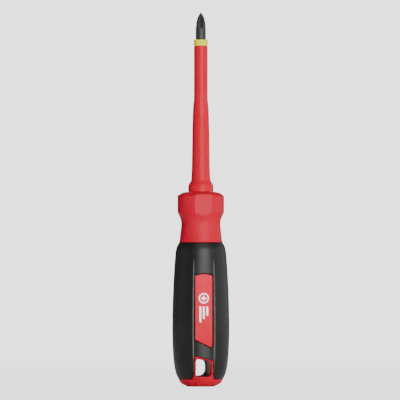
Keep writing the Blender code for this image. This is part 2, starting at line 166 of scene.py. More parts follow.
# Sleeve.
SLIM_R = 4.15 * MM
SLEEVE_SIDE = in_mm(
    [
        (125.7, 5.75),
        (131.0, 5.5),
        (144.0, 5.3),
        (154.0, 5.14),
        (163.6, 4.92),
        (167.2, 4.78),
        (169.6, 4.62),
        (171.5, 4.4),
        (173.3, 4.23),
        (175.5, 4.17),
        (206.5, 4.15),
    ]
)
COLLAR_SIDE = [
    (NOSE_FACE_Z + 0.4 * MM, COLLAR_R),
    (120.6 * MM, COLLAR_R - 0.02 * MM),
]
COLLAR_SIDE += in_mm([(121.5, 7.5), (122.5, 7.2), (123.4, 6.62), (124.3, 6.08), (125.0, 5.87)])
COLLAR_SIDE += SLEEVE_SIDE[:1]

# Camera and stage.
VIEW_TURN = math.radians(-7.1)
VIEW_DISTANCE = 5.0
VIEW_HEIGHT = 242.0 * MM
VIEW_SIDE_SHIFT = -0.5 * MM
SENSOR = 36.0
BACKDROP = 2.6
ROOM_LIGHT = 0.08
# Dark red painted in as shade, in the badge's gap and deep in the hang hole.
PAINTED_SEAM_SHADE = (0.05, 0.006, 0.006)


# ---------------------------------------------------------------- shapes


def smooth_curve(points, heights):
    """Distances at these heights on a smooth curve through (height, distance) points."""
    z = np.array([p[0] for p in points])
    d = np.array([p[1] for p in points])
    slope = np.empty(len(z))
    slope[1:-1] = (d[2:] - d[:-2]) / (z[2:] - z[:-2])
    slope[0] = (d[1] - d[0]) / (z[1] - z[0])
    slope[-1] = (d[-1] - d[-2]) / (z[-1] - z[-2])
    heights = np.clip(np.asarray(heights, float), z[0], z[-1])
    i = np.clip(np.searchsorted(z, heights, side="right") - 1, 0, len(z) - 2)
    span = z[i + 1] - z[i]
    t = (heights - z[i]) / span
    return (
        d[i] * (2 * t**3 - 3 * t**2 + 1)
        + d[i + 1] * (3 * t**2 - 2 * t**3)
        + slope[i] * span * (t**3 - 2 * t**2 + t)
        + slope[i + 1] * span * (t**3 - t**2)
    )


def smooth_min(a, b, width):
    """The lesser of two surfaces, with their meeting edge rounded over this width."""
    h = np.clip(0.5 + 0.5 * (b - a) / width, 0.0, 1.0)
    return b + (a - b) * h - width * h * (1 - h)


def smooth_max(a, b, width):
    return -smooth_min(-a, -b, width)


def ramp(value, low, high):
    """Smooth step from 0 at low to 1 at high."""
    t = np.clip((value - low) / (high - low), 0.0, 1.0)
    return t * t * (3 - 2 * t)


def round_corner(start, corner, end, radius, steps=5):
    """Arc that rounds one corner of a (distance, height) profile."""
    a, b, c = Vector(start), Vector(corner), Vector(end)
    before, after = (a - b).normalized(), (c - b).normalized()
    half = before.angle(after) / 2
    reach = radius / math.tan(half)
    first, last = b + before * reach, b + after * reach
    centre = b + (before + after).normalized() * radius / math.sin(half)
    arc = []
    for i in range(steps + 1):
        along = (first - centre).lerp(last - centre, i / steps).normalized()
        arc.append(tuple(centre + along * radius))
    return arc


def rounded_profile(points):
    """Profile through (distance, height, corner radius) points with its corners rounded."""
    out = []
    count = len(points)
    for i, (distance, height, radius) in enumerate(points):
        if radius == 0.0:
            out.append((distance, height))
            continue
        before, after = points[i - 1][:2], points[(i + 1) % count][:2]
        out += round_corner(before, (distance, height), after, radius)
    return out


def denser(profile, longest, guide=None):
    """Profile with its long stretches divided, as the guide's are if one is given."""
    out = []
    profile = np.array(profile)
    guide = profile if guide is None else np.array(guide)
    lengths = np.linalg.norm(np.roll(guide, -1, axis=0) - guide, axis=1)
    for a, b, length in zip(profile, np.roll(profile, -1, axis=0), lengths):
        pieces = max(1, math.ceil(length / longest))
        out += [tuple(a + (b - a) * k / pieces) for k in range(pieces)]
    return out


def sector_angles():
    """Angles in one third of a turn, from one lobe's middle to the next, closest at the lips."""
    half = np.radians(
        np.concatenate(
            [
                np.linspace(0.0, 20.5, 14, endpoint=False),
                np.linspace(20.5, 28.5, 26, endpoint=False),
                np.linspace(28.5, 60.0, 20, endpoint=False),
            ]
        )
    )
    return np.concatenate([-half[:0:-1], half, [math.pi / SECTORS]])


def channel_angles():
    """Angles round the handle and, for each, its turn from the nearest channel's middle."""
    one = sector_angles()
    turns = np.arange(SECTORS) * math.tau / SECTORS - math.pi / 2
    return (turns[:, None] + one[None, :]).ravel(), np.tile(one, SECTORS)


def channel_wall(turn):
    """Distance from the axis of a channel's slanted walls, continued past their lips."""
    edge_depth = math.sqrt(CHANNEL_FLOOR_R**2 - CHANNEL_HALF**2)
    base = edge_depth - CHANNEL_WALL_SLOPE * CHANNEL_HALF
    return base / np.maximum(np.cos(turn) - CHANNEL_WALL_SLOPE * np.abs(np.sin(turn)), 0.05)


def channelled(turn, side):
    """Radius of the handle where its round side and its nearest channel meet."""
    floor = np.full_like(side, CHANNEL_FLOOR_R)
    return smooth_min(smooth_max(floor, channel_wall(turn), 0.3 * MM), side, LIP_ROUND)


def lobed_radius(turn, heights):
    """Radius of the lobed handle, a row for each height, and masks for the highlights painted on its
    lips and channel floors.
    """
    side = smooth_curve(HANDLE_SIDE, heights)[:, None]
    wall = channel_wall(turn)
    radius = channelled(turn, side)
    below_shoulder = 1 - ramp(heights, SHOULDER_FOOT_Z, CORE_HEAD_Z)[:, None]
    reach = np.where(wall > side, 4.0 * MM, 2.2 * MM)
    lip = np.exp(-(((wall - side) / reach) ** 2)) * below_shoulder
    channel_highlight_mask = ramp(side - wall, -0.2 * MM, 0.2 * MM) * below_shoulder
    return radius, lip, channel_highlight_mask


def front_depth(x, z):
    """How far the handle's front surface is from the axis plane at this x and height."""
    side = smooth_curve(HANDLE_SIDE, z)
    turn = np.arcsin(x / np.minimum(side, CHANNEL_FLOOR_R))
    for _ in range(3):
        turn = np.arcsin(x / channelled(turn, side))
    return channelled(turn, side) * np.cos(turn)


def back_depth(x, z):
    """The same for the back lobe, which is plainly round."""
    return -np.sqrt(np.maximum(smooth_curve(HANDLE_SIDE, z) ** 2 - x**2, 1e-9))


# ---------------------------------------------------------------- meshes


def show(name, mesh):
    obj = bpy.data.objects.new(name, mesh)
    bpy.context.scene.collection.objects.link(obj)
    return obj


def grid_mesh(name, points, wrap_rows=False, marks=None):
    """Closed skin through rows of points. Each row is a ring; the ends are capped unless rows wrap."""
    rows, count = points.shape[:2]
    index = np.arange(rows * count).reshape(rows, count)
    lower = index if wrap_rows else index[:-1]
    upper = np.roll(index, -1, axis=0) if wrap_rows else index[1:]
    quads = np.stack(
        [lower, np.roll(lower, -1, axis=1), np.roll(upper, -1, axis=1), upper], axis=-1
    ).reshape(-1, 4)
    faces = quads.tolist()
    if not wrap_rows:
        faces += [index[0][::-1].tolist(), index[-1].tolist()]
    mesh = bpy.data.meshes.new(name)
    mesh.from_pydata(points.reshape(-1, 3).tolist(), [], faces)
    for mark, values in (marks or {}).items():
        layer = mesh.attributes.new(mark, "FLOAT", "POINT")
        layer.data.foreach_set("value", np.ascontiguousarray(values, np.float32).ravel())
    return mesh


def mark_points(mesh, name, strength):
    """Mark on the points whose strength, from 0 to 1, is worked out from their place."""
    spots = np.empty(len(mesh.vertices) * 3)
    mesh.vertices.foreach_get("co", spots)
    values = np.asarray(strength(*spots.reshape(-1, 3).T))
    layer = mesh.attributes.new(name, "FLOAT", "POINT")
    layer.data.foreach_set("value", values.astype(np.float32))


def tidy_mesh(mesh, sharp=35.0):
    """Weld, turn the faces outwards and smooth the shading between sharp edges."""
    shape = bmesh.new()
    shape.from_mesh(mesh)
    bmesh.ops.remove_doubles(shape, verts=shape.verts, dist=1e-7)
    bmesh.ops.recalc_face_normals(shape, faces=shape.faces)
    shape.to_mesh(mesh)
    shape.free()
    mesh.shade_smooth()
    mesh.set_sharp_from_angle(angle=math.radians(sharp))
    return mesh


def polar_points(angles, radii, heights):
    """Rows of points from an angle for each column and a radius and height for each point."""
    heights = np.broadcast_to(heights, radii.shape)
    return np.stack([radii * np.cos(angles), radii * np.sin(angles), heights], axis=-1)


def turned_mesh(name, profile, steps):
    """Closed ring turned from a closed (distance, height) profile."""
    profile = np.array(profile)
    angles = np.arange(steps) * math.tau / steps
    radii = np.repeat(profile[:, :1], steps, axis=1)
    points = polar_points(angles, radii, profile[:, 1:])
    return tidy_mesh(grid_mesh(name, points, wrap_rows=True))


def outward(start, end):
    along = (Vector(end[:2]) - Vector(start[:2])).normalized()
    return Vector((along.y, -along.x))


def corner_points(corners, grow, arc_steps=10):
    """Anticlockwise outline through (x, z, radius) corners, rounded and pushed outwards by grow."""
    points = []
    count = len(corners)
    for i, (x, z, radius) in enumerate(corners):
        corner = Vector((x, z))
        last, following = corners[i - 1], corners[(i + 1) % count]
        into, out_of = outward(last, corners[i]), outward(corners[i], following)
        mitre = (into + out_of) / (1 + into.dot(out_of))
        if radius == 0.0:
            points.append(corner + mitre * grow)
            continue
        centre = corner - mitre * radius
        for step in range(arc_steps + 1):
            points.append(centre + into.slerp(out_of, step / arc_steps) * (radius + grow))
    return [tuple(p) for p in points]


def grown_outline(corners, grow):
    """Outline grown by this much. It has the same number of points however much it grows."""
    return np.array(denser(corner_points(corners, grow), 0.6 * MM, corner_points(corners, 0.0)))


def flared_plug(name, corners, depth_at, rings, end_y):
    """Plug through an outline. Rings are (grow, depth under the surface); it ends flat at end_y."""
    levels = []
    for grow, depth in rings:
        wide = grown_outline(corners, grow)
        surface = depth_at(wide[:, 0], wide[:, 1])
        y = -(surface - depth * np.sign(surface))
        levels.append(np.stack([wide[:, 0], y, wide[:, 1]], axis=-1))
    last = levels[-1].copy()
    last[:, 1] = end_y
    levels.append(last)
    return tidy_mesh(grid_mesh(name, np.array(levels)))


def carve(obj, mesh, operation="DIFFERENCE"):
    """Boolean this mesh into the object, at once."""
    other = show("carver", mesh)
    modifier = obj.modifiers.new("carve", "BOOLEAN")
    modifier.operation = operation
    modifier.solver = "EXACT"
    modifier.object = other
    bake_modifiers(obj)
    bpy.data.objects.remove(other, do_unlink=True)


def bake_modifiers(obj):
    """Replace the object's mesh by its evaluated one, with no modifiers left."""
    graph = bpy.context.evaluated_depsgraph_get()
    made = bpy.data.meshes.new_from_object(obj.evaluated_get(graph))
    obj.modifiers.clear()
    obj.data = made


def finish_piece(obj, material, node, sharp=35.0):
    """Give a piece its material and say which part of the tool it is."""
    tidy_mesh(obj.data, sharp)
    obj.data.materials.clear()
    obj.data.materials.append(material)
    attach(obj, BODY)
    if node:
        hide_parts(node)
    return obj


# ---------------------------------------------------------------- pieces


def wing_radius(angles, heights):
    """Radius of the tang's stamped wings, two pairs a quarter turn apart."""
    middle = (TANG_Z + 19.0 * MM, TANG_Z + 39.0 * MM)
    half_length, half_span, half_thick = 7.0 * MM, 5.2 * MM, 1.1 * MM
    radius = np.zeros((len(heights), len(angles)))
    for height, turn in zip(middle, (0.0, math.pi / 2)):
        across = np.abs(np.cos(angles - turn)) + 1e-9
        along = np.abs(np.sin(angles - turn)) + 1e-9
        section = np.minimum(half_span / across, half_thick / along)
        inside = 1 - ramp(np.abs(heights - height), half_length - 0.8 * MM, half_length)
        radius = np.maximum(radius, section[None, :] * inside[:, None])
    return radius


def make_blade(material):
    angles = np.arange(256) * math.tau / 256
    heights = np.concatenate(
        [
            np.linspace(TANG_Z, TANG_Z + 2.0 * MM, 5, endpoint=False),
            np.linspace(TANG_Z + 2.0 * MM, TANG_Z + 50.0 * MM, 50, endpoint=False),
            np.linspace(TANG_Z + 50.0 * MM, 208.0 * MM, 8, endpoint=False),
            np.linspace(208.0 * MM, 214.4 * MM, 12, endpoint=False),
            np.linspace(214.4 * MM, TIP_Z - 0.25 * MM, 96, endpoint=False),
            np.linspace(TIP_Z - 0.25 * MM, TIP_Z, 5),
        ]
    )
    chamfer = 2.0 * MM + 1.1 * MM * ramp(heights, TANG_Z, TANG_Z + 1.5 * MM)
    body = np.minimum(chamfer, smooth_curve(TIP_LINE, heights))
    body -= 0.22 * MM * ramp(heights, TIP_Z - 0.25 * MM, TIP_Z) ** 2
    facing = (angles[None, :] + math.pi / FLUTES) % (math.tau / FLUTES) - math.pi / FLUTES
    bottom = smooth_curve(FLUTE_LINE, heights)[:, None]
    open_side = np.cos(facing) - np.abs(np.sin(facing)) / math.tan(FLUTE_HALF_ANGLE)
    flute = smooth_max(bottom / np.maximum(open_side, 0.02), bottom * 1.02, 0.08 * MM)
    radius = smooth_min(np.broadcast_to(body[:, None], flute.shape), flute, 0.1 * MM)
    under_flutes = (heights < FLUTE_LINE[0][0])[:, None]
    radius = np.where(under_flutes, body[:, None], radius)
    radius = np.maximum(radius, wing_radius(angles, heights))
    edge = np.exp(-(((flute - body[:, None]) / (0.3 * MM)) ** 2)) * ~under_flutes
    marks = {"edge": np.maximum(edge, ramp(heights, TIP_Z - 0.6 * MM, TIP_Z)[:, None])}
    mesh = grid_mesh("blade_steel", polar_points(angles, radius, heights[:, None]), marks=marks)
    return finish_piece(show("cross_tip_blade", mesh), material, "blade", 40.0)


def make_under_sleeve(material):
    inner, outer = SHANK_R + 0.1 * MM, 3.55 * MM
    ring_foot = SLEEVE_TOP_Z + 0.2 * MM
    profile = [
        (inner, RING_TOP_Z, 0.12 * MM),
        (RING_R, RING_TOP_Z, 0.45 * MM),
        (RING_R, ring_foot, 0.2 * MM),
        (outer, ring_foot, 0.0),
        (outer, UNDER_FOOT_Z, 0.0),
        (inner, UNDER_FOOT_Z, 0.0),
    ]
    mesh = turned_mesh("ring", denser(rounded_profile(profile), 3.0 * MM), 128)
    piece = show("yellow_under_sleeve", mesh)
    return finish_piece(piece, material, "under_sleeve")


def curve_down(points, step, top=None):
    """(distance, height) points down a smooth curve."""
    high = points[-1][0] if top is None else top
    heights = np.linspace(high, points[0][0], max(2, math.ceil((high - points[0][0]) / step)))
    return list(zip(smooth_curve(points, heights), heights))


def make_outer_sleeve(material):
    inner, neck, foot = 3.65 * MM, 5.6 * MM, 7.2 * MM
    collar_foot = NOSE_FACE_Z + 0.03 * MM
    foot_top = SLEEVE_FOOT_Z + 2.4 * MM
    mouth = (SLIM_R, SLEEVE_TOP_Z)
    profile = round_corner((inner, SLEEVE_TOP_Z), mouth, (SLIM_R, 200 * MM), 0.18 * MM)
    profile += curve_down(SLEEVE_SIDE, 0.9 * MM, SLEEVE_TOP_Z - 0.5 * MM)
    profile += curve_down(COLLAR_SIDE, 0.14 * MM)[1:]
    rim = (COLLAR_R, collar_foot)
    profile += round_corner((COLLAR_R, 120 * MM), rim, (neck, collar_foot), 0.25 * MM)
    profile += [(neck, collar_foot), (neck, foot_top), (foot, foot_top), (foot, SLEEVE_FOOT_Z)]
    profile += [(inner, SLEEVE_FOOT_Z), (inner, 160 * MM), (inner, SLEEVE_TOP_Z)]
    mesh = turned_mesh("sleeve", denser(profile, 4.0 * MM), 160)
    piece = show("red_outer_sleeve", mesh)
    return finish_piece(piece, material, "outer_sleeve")


def butt_top_r():
    return float(smooth_curve(HANDLE_SIDE, BUTT_TOP_Z))


def shell_side():
    """Heights and radii down the outside of the shell, before the nose flats."""
    top = NOSE_FACE_Z
    nose = [
        (5.9 * MM, top, 0.2 * MM),
        (8.8 * MM, top, 1.5 * MM),
        (11.2 * MM, top - 0.6 * MM, 1.2 * MM),
        (13.2 * MM, top - 1.75 * MM, 0.8 * MM),
        (NOSE_R, top - 2.9 * MM, 0.5 * MM),
        (NOSE_R, top - 11.5 * MM, 0.0),
    ]
    side = rounded_profile(nose)[:-1]
    side = denser(side + [(NOSE_R, NOSE_FOOT)], 0.35 * MM)
    side = side[: next(i for i, p in enumerate(side) if p[1] < NOSE_FOOT + 0.1 * MM)]
    side += curve_down(NECK_SIDE, 0.3 * MM)
    bead = 13.1 * MM
    side += [(12.82 * MM, SEAM_Z + 0.8 * MM), (12.95 * MM, SEAM_Z + 0.6 * MM)]
    side += round_corner(side[-1], (bead, SEAM_Z + 0.35 * MM), (bead, SEAM_Z), 0.12 * MM, 3)
    side += [(bead, GRIP_TOP_Z + 0.1 * MM), (bead - 0.12 * MM, GRIP_TOP_Z + 0.04 * MM)]
    side += [(LAND_R, GRIP_TOP_Z + 0.04 * MM)]
    side += [(LAND_R, LAND_FOOT_Z), (CORE_R, CORE_HEAD_Z), (CORE_R, 50.0 * MM), (CORE_R, 24.0 * MM)]
    butt_top = GRIP_FOOT_Z - 0.04 * MM
    side += [(CORE_R, butt_top), (butt_top_r() - 0.1 * MM, butt_top)]
    side += [(butt_top_r(), butt_top - 0.1 * MM)]
    butt_side = [p for p in HANDLE_SIDE if p[0] < 9 * MM]
    side += curve_down(butt_side, 0.16 * MM, butt_top - 0.2 * MM)[:-3]
    side += round_corner(side[-1], (8.2 * MM, BUTT_Z), (3.0 * MM, BUTT_Z), 0.5 * MM, 6)
    return side + [(4.0 * MM, BUTT_Z), (0.6 * MM, BUTT_Z)]


def painted_shade_places(x, y, z):
    """Where the shell is painted darker as shade: the pad behind the badge's gap, and deep in the hang
    hole.
    """
    pad = (y < -POCKET_BACK - MM) & (z > 22.0 * MM) & (z < 72.0 * MM)
    in_hole = (np.abs(x) < 4.7 * MM) & (z > 6.0 * MM) & (z < 17.5 * MM)
    return np.maximum(pad, in_hole * ramp(y, -8.0 * MM, 10.0 * MM))


def shell_body():
    """Turned body with three flats on its nose, and the mark of the edges round them, where a highlight
    is painted.
    """
    side = np.array(shell_side())
    angles = np.arange(360) * math.tau / 360
    radii, heights = side[:, :1], side[:, 1:]
    turn = (angles + math.pi / 2 + math.pi / SECTORS) % (math.tau / SECTORS) - math.pi / SECTORS
    flat = NOSE_FLAT / np.cos(turn)[None, :]
    nose = heights > NECK_WAIST_Z
    within = np.abs(turn)[None, :] < math.acos(NOSE_FLAT / NOSE_R)
    raised = within & (heights < NOSE_FLAT_TOP) & (heights > NOSE_FLAT_FOOT)
    full = np.where(raised, NOSE_R, radii)
    cut = smooth_min(full, flat + 0 * radii, NOSE_FLAT_ROUND)
    radius = np.where(nose, cut, radii)
    # Mark for a painted highlight along the top and side edges of the nose flats.
    top_edge = np.exp(-(((heights - NOSE_FLAT_TOP) / (0.3 * MM)) ** 2)) * within
    edge = np.maximum(0.4 * np.exp(-(((flat - full) / (0.1 * MM)) ** 2)) * nose, top_edge)
    points = polar_points(angles, radius, heights)
    return tidy_mesh(grid_mesh("shell", points, marks={"edge": edge}))


def rim_boss():
    """Rim of the hang hole, trimmed to the outside of the channelled handle."""
    heights = np.linspace(2.4 * MM, 21.0 * MM, 64)
    around, turn = channel_angles()
    wall = lobed_radius(turn, heights)[0]
    wall -= 0.02 * MM * (1 - ramp(heights, BUTT_TOP_Z, BUTT_TOP_Z + 0.8 * MM))[:, None]
    envelope = grid_mesh("envelope", polar_points(around, wall, heights[:, None]))
    rings = in_mm([(0.0, -6.0), (0.0, 3.0)])
    boss = show("boss", flared_plug("rim", RIM_CORNERS, front_depth, rings, -8.0 * MM))
    carve(boss, tidy_mesh(envelope), "INTERSECT")
    mesh = boss.data
    bpy.data.objects.remove(boss, do_unlink=True)
    return mesh


def badge_pad():
    """Pad behind the badge, a little smaller than the badge all round."""
    front = flat_at(BADGE_FRONT - 1.65 * MM)
    return flared_plug("pad", shrunk(BADGE_CORNERS, 0.8 * MM), front, [(0.0, 0.0)], -POCKET_BACK)


def inside_room():
    """Room inside the shell for the core, the sleeve's foot flange and the sleeve."""
    axis, sleeve_r, flange_r, core_r = 0.3 * MM, 5.9 * MM, 7.5 * MM, 8.9 * MM
    foot, head, flange_top, above = CORE_FOOT_Z - GAP, CORE_TOP_Z + GAP, 101.3 * MM, 120.0 * MM
    room = [(axis, foot), (core_r, foot), (core_r, head), (flange_r, head)]
    room += [(flange_r, flange_top), (sleeve_r, flange_top), (sleeve_r, above), (axis, above)]
    return solid_turned("cavity", room, 96)


def hang_hole():
    """Hang hole with a flared lip, through to the back of the handle."""
    lip = in_mm([(1.0, -3.0), (0.75, -0.05), (0.42, 0.1), (0.2, 0.3), (0.06, 0.6), (0.0, 1.0)])
    depths = (1.4, 2.4, 4.0, 6.0, 8.5, 11.0, 14.0, 17.0, 20.0, 23.0, 26.0)
    wall = in_mm([(0.0, depth) for depth in depths])
    return flared_plug("hole", HOLE_CORNERS, front_depth, lip + wall, BEHIND)


def make_shell(material):
    piece = show("red_handle_shell", shell_body())
    carve(piece, rim_boss(), "UNION")
    carve(piece, badge_pad(), "UNION")
    carve(piece, inside_room())
    carve(piece, hang_hole())
    # Painted shade: darker red on the pad behind the badge's gap and deep in the hang hole.
    mark_points(piece.data, "painted_gap_shade", painted_shade_places)
    return finish_piece(piece, material, "handle_shell", 32.0)


def solid_turned(name, profile, steps):
    """Solid turned from a (distance, height) profile that starts and ends close to the axis."""
    profile = np.array(profile)
    angles = np.arange(steps) * math.tau / steps
    points = polar_points(angles, np.repeat(profile[:, :1], steps, axis=1), profile[:, 1:])
    return tidy_mesh(grid_mesh(name, points))


def flat_at(depth):
    """Surface of a plane this far in front of the axis."""
    return lambda x, z: np.full(len(x), depth)


def shrunk(corners, by):
    """The outline moved inwards: each corner goes along its mitre."""
    moved = []
    for i, (x, z, radius) in enumerate(corners):
        into = outward(corners[i - 1], corners[i])
        out_of = outward(corners[i], corners[(i + 1) % len(corners)])
        mitre = (into + out_of) / (1 + into.dot(out_of))
        moved.append((x - mitre.x * by, z - mitre.y * by, max(radius - by, 0.3 * MM)))
    return moved


def grip_body():
    """Lobed sleeve over the shell's core, and the masks for the highlights painted on its lips and
    channel floors.
    """
    around, turn = channel_angles()
    heights = np.concatenate(
        [
            np.linspace(GRIP_FOOT_Z, GRIP_FOOT_Z + 1.0 * MM, 8, endpoint=False),
            np.linspace(GRIP_FOOT_Z + 1.0 * MM, 24.0 * MM, 44, endpoint=False),
            np.linspace(24.0 * MM, 74.0 * MM, 50, endpoint=False),
            np.linspace(74.0 * MM, GRIP_TOP_Z - 0.7 * MM, 40, endpoint=False),
            np.linspace(GRIP_TOP_Z - 0.7 * MM, GRIP_TOP_Z, 8),
        ]
    )
    outer, lip, channel_highlight_mask = lobed_radius(turn, heights)
    foot = 0.22 * MM * (1 - ramp(heights, GRIP_FOOT_Z, GRIP_FOOT_Z + 0.35 * MM)) ** 2
    crown = 0.3 * MM * ramp(heights, GRIP_TOP_Z - 0.4 * MM, GRIP_TOP_Z) ** 2
    outer -= (foot + crown)[:, None]
    core_heights = [CORE_HEAD_Z, 60.0 * MM, 40.0 * MM, 24.0 * MM, GRIP_FOOT_Z]
    inner_heights = [GRIP_TOP_Z, LAND_FOOT_Z] + core_heights
    inner_radii = [LAND_R + GAP] * 2 + [CORE_R + GAP] * len(core_heights)
    inner = np.repeat(np.array(inner_radii)[:, None], len(around), axis=1)
    all_heights = np.concatenate([heights, inner_heights])[:, None]
    points = polar_points(around, np.concatenate([outer, inner]), all_heights)
    hidden = np.zeros_like(inner)
    marks = {"edge": np.concatenate([lip, hidden]), "channel": np.concatenate([channel_highlight_mask, hidden])}
    return tidy_mesh(grid_mesh("grip", points, wrap_rows=True, marks=marks))


def make_grip(material):
    piece = show("black_soft_grip", grip_body())
    window = in_mm([(0.62, -3.0), (0.5, -0.04), (0.38, 0.05), (0.33, 0.15)])
    window += in_mm([(0.32, 0.4), (0.32, 0.8), (0.32, 2.0)])
    carve(piece, flared_plug("window", BADGE_CORNERS, front_depth, window, -POCKET_BACK))
    rim_room = in_mm([(0.75, -3.0), (0.5, -0.04), (0.32, 0.07), (0.24, 0.22)])
    rim_room += in_mm([(0.2, 0.5), (0.2, 0.9), (0.2, 2.0)])
    carve(piece, flared_plug("room", RIM_CORNERS, front_depth, rim_room, -POCKET_BACK))
    hole = in_mm([(1.1, -3.0), (0.85, -0.05), (0.5, 0.12), (0.22, 0.4), (0.05, 0.8)])
    hole += in_mm([(0.0, 1.2), (0.0, 1.6), (0.0, 3.0)])
    carve(piece, flared_plug("hole", BACK_HOLE_CORNERS, back_depth, hole, 0.0))
    return finish_piece(piece, material, "grip", 32.0)


def make_badge(material):
    rings = in_mm([(-0.27, 0.0), (-0.21, 0.02), (-0.18, 0.07), (-0.17, 0.15), (-0.17, 0.35)])
    back = BADGE_FRONT - 1.35 * MM
    mesh = flared_plug("badge", BADGE_CORNERS, flat_at(BADGE_FRONT), rings, -back)
    # Painted shade: the badge's sides and back are darkened, as the gap round it is in shadow.
    mark_points(mesh, "painted_gap_shade", lambda x, y, z: y > -BADGE_FRONT + 0.14 * MM)
    return finish_piece(show("red_badge_plate", mesh), material, "front_badge")


# ---------------------------------------------------------------- plain printed mark


def ring_outline(centre, radius, steps=64):
    angles = np.arange(steps) * math.tau / steps
    return [(centre[0] + radius * math.cos(a), centre[1] + radius * math.sin(a)) for a in angles]


def print_shape(outlines, thickness):
    """Flat shape in the XZ plane, with holes where outlines nest, standing on the badge's front."""
    curve = bpy.data.curves.new("print", "CURVE")
    curve.dimensions = "2D"
    curve.fill_mode = "BOTH"
    curve.extrude = thickness / 2
    for outline in outlines:
        spline = curve.splines.new("POLY")
        spline.points.add(len(outline) - 1)
        for point, (x, z) in zip(spline.points, outline):
            point.co = (x, z, 0.0, 1.0)
        spline.use_cyclic_u = True
    guide = show("print", curve)
    graph = bpy.context.evaluated_depsgraph_get()
    mesh = bpy.data.meshes.new_from_object(guide.evaluated_get(graph))
    bpy.data.objects.remove(guide, do_unlink=True)
    place = Matrix.Translation((0, -BADGE_FRONT - thickness * 0.3, 0))
    mesh.transform(place @ Matrix.Rotation(math.pi / 2, 4, "X"))
    return mesh


def slanted_bar(centre_x, low, high, half, slant):
    """Upright bar with slanted ends."""
    return [
        (centre_x - half, low + slant * half),
        (centre_x + half, low - slant * half),
        (centre_x + half, high - slant * half),
        (centre_x - half, high + slant * half),
    ]


def make_mark(material):
    """Plain cross-in-a-ring sign for a cross tip, over three bars."""
    middle = (0.0, 53.6 * MM)
    arm, half = 1.55 * MM, 0.42 * MM
    cross = []
    for k in range(4):
        turn = Matrix.Rotation(k * math.pi / 2, 2)
        for x, z in ((half, half), (half, arm), (-half, arm)):
            spot = turn @ Vector((x, z))
            cross.append((middle[0] + spot.x, middle[1] + spot.y))
    outlines = [ring_outline(middle, 3.1 * MM), ring_outline(middle, 2.45 * MM), cross]
    for x, low in ((-2.1 * MM, 39.2 * MM), (0.0, 41.2 * MM), (2.1 * MM, 43.2 * MM)):
        outlines.append(slanted_bar(x, low, 48.6 * MM, 0.55 * MM, 0.42))
    mesh = print_shape(outlines, 0.05 * MM)
    return finish_piece(show("white_printed_mark", mesh), material, None)


# ---------------------------------------------------------------- node trees


def new_node(tree, kind, **settings):
    """Add a node, in a row with those before it, and set its properties."""
    node = tree.nodes.new(kind)
    node.location = (220 * len(tree.nodes), 0)
    for name, value in settings.items():
        setattr(node, name, value)
    return node


def join(tree, source, target):
    """Connect a source to a socket, or set the socket to a plain value."""
    if isinstance(source, bpy.types.NodeSocket):
        tree.links.new(source, target)
    else:
        target.default_value = source


def maths(tree, operation, *values):
    """Answer of a maths node on numbers and sockets."""
    node = new_node(tree, "ShaderNodeMath", operation=operation)
    for value, socket in zip(values, node.inputs):
        join(tree, value, socket)
    return node.outputs[0]


def vector(tree, **parts):
    """Vector with these parts, named X, Y and Z."""
    node = new_node(tree, "ShaderNodeCombineXYZ")
    for axis, value in parts.items():
        join(tree, value, node.inputs[axis])
    return node.outputs[0]


# ---------------------------------------------------------------- repeated raised marks


DASH_SIZES = (
    "Spacing",
    "Dash Length",
    "Dash Width",
    "Dash Height",
    "Top Radius",
    "Foot Radius",
    "Top Z",
    "Facing",
)


def straight_dashes(tree, given):
    """Rounded dashes lying along X, in a straight column down from the origin."""
    line = new_node(tree, "GeometryNodeMeshLine")
    join(tree, given["Count"], line.inputs["Count"])
    join(tree, vector(tree, Z=maths(tree, "MULTIPLY", given["Spacing"], -1.0)), line.inputs["Offset"])
    cube = new_node(tree, "GeometryNodeMeshCube")
    depth = maths(tree, "MULTIPLY", given["Dash Height"], 2.0)
    size = vector(tree, X=given["Dash Length"], Y=depth, Z=given["Dash Width"])
    join(tree, size, cube.inputs["Size"])
    for axis, count in zip("XYZ", (7, 3, 3)):
        cube.inputs["Vertices " + axis].default_value = count
    soft = new_node(tree, "GeometryNodeSubdivisionSurface")
    soft.inputs["Level"].default_value = 1
    join(tree, cube.outputs["Mesh"], soft.inputs["Mesh"])
    placed = new_node(tree, "GeometryNodeInstanceOnPoints")
    join(tree, line.outputs["Mesh"], placed.inputs["Points"])
    join(tree, soft.outputs["Mesh"], placed.inputs["Instance"])
    real = new_node(tree, "GeometryNodeRealizeInstances")
    join(tree, placed.outputs["Instances"], real.inputs["Geometry"])
    return real.outputs["Geometry"]


def bent_place(tree, given):
    """Where each point goes when the column is bent round the tool."""
    split = new_node(tree, "ShaderNodeSeparateXYZ")
    join(tree, new_node(tree, "GeometryNodeInputPosition").outputs[0], split.inputs[0])
    across, inwards, up = split.outputs
    reach = maths(tree, "MULTIPLY", given["Spacing"], maths(tree, "SUBTRACT", given["Count"], 1.0))
    share = maths(tree, "DIVIDE", up, maths(tree, "MULTIPLY", reach, -1.0))
    change = maths(tree, "SUBTRACT", given["Foot Radius"], given["Top Radius"])
    surface = maths(tree, "ADD", given["Top Radius"], maths(tree, "MULTIPLY", share, change))
    turn = maths(tree, "ADD", maths(tree, "DIVIDE", across, surface), given["Facing"])
    radius = maths(tree, "SUBTRACT", surface, inwards)
    side = maths(tree, "MULTIPLY", radius, maths(tree, "SINE", turn))
    back = maths(tree, "MULTIPLY", radius, maths(tree, "COSINE", turn))
    height = maths(tree, "ADD", up, given["Top Z"])
    return vector(tree, X=side, Y=maths(tree, "MULTIPLY", back, -1.0), Z=height)


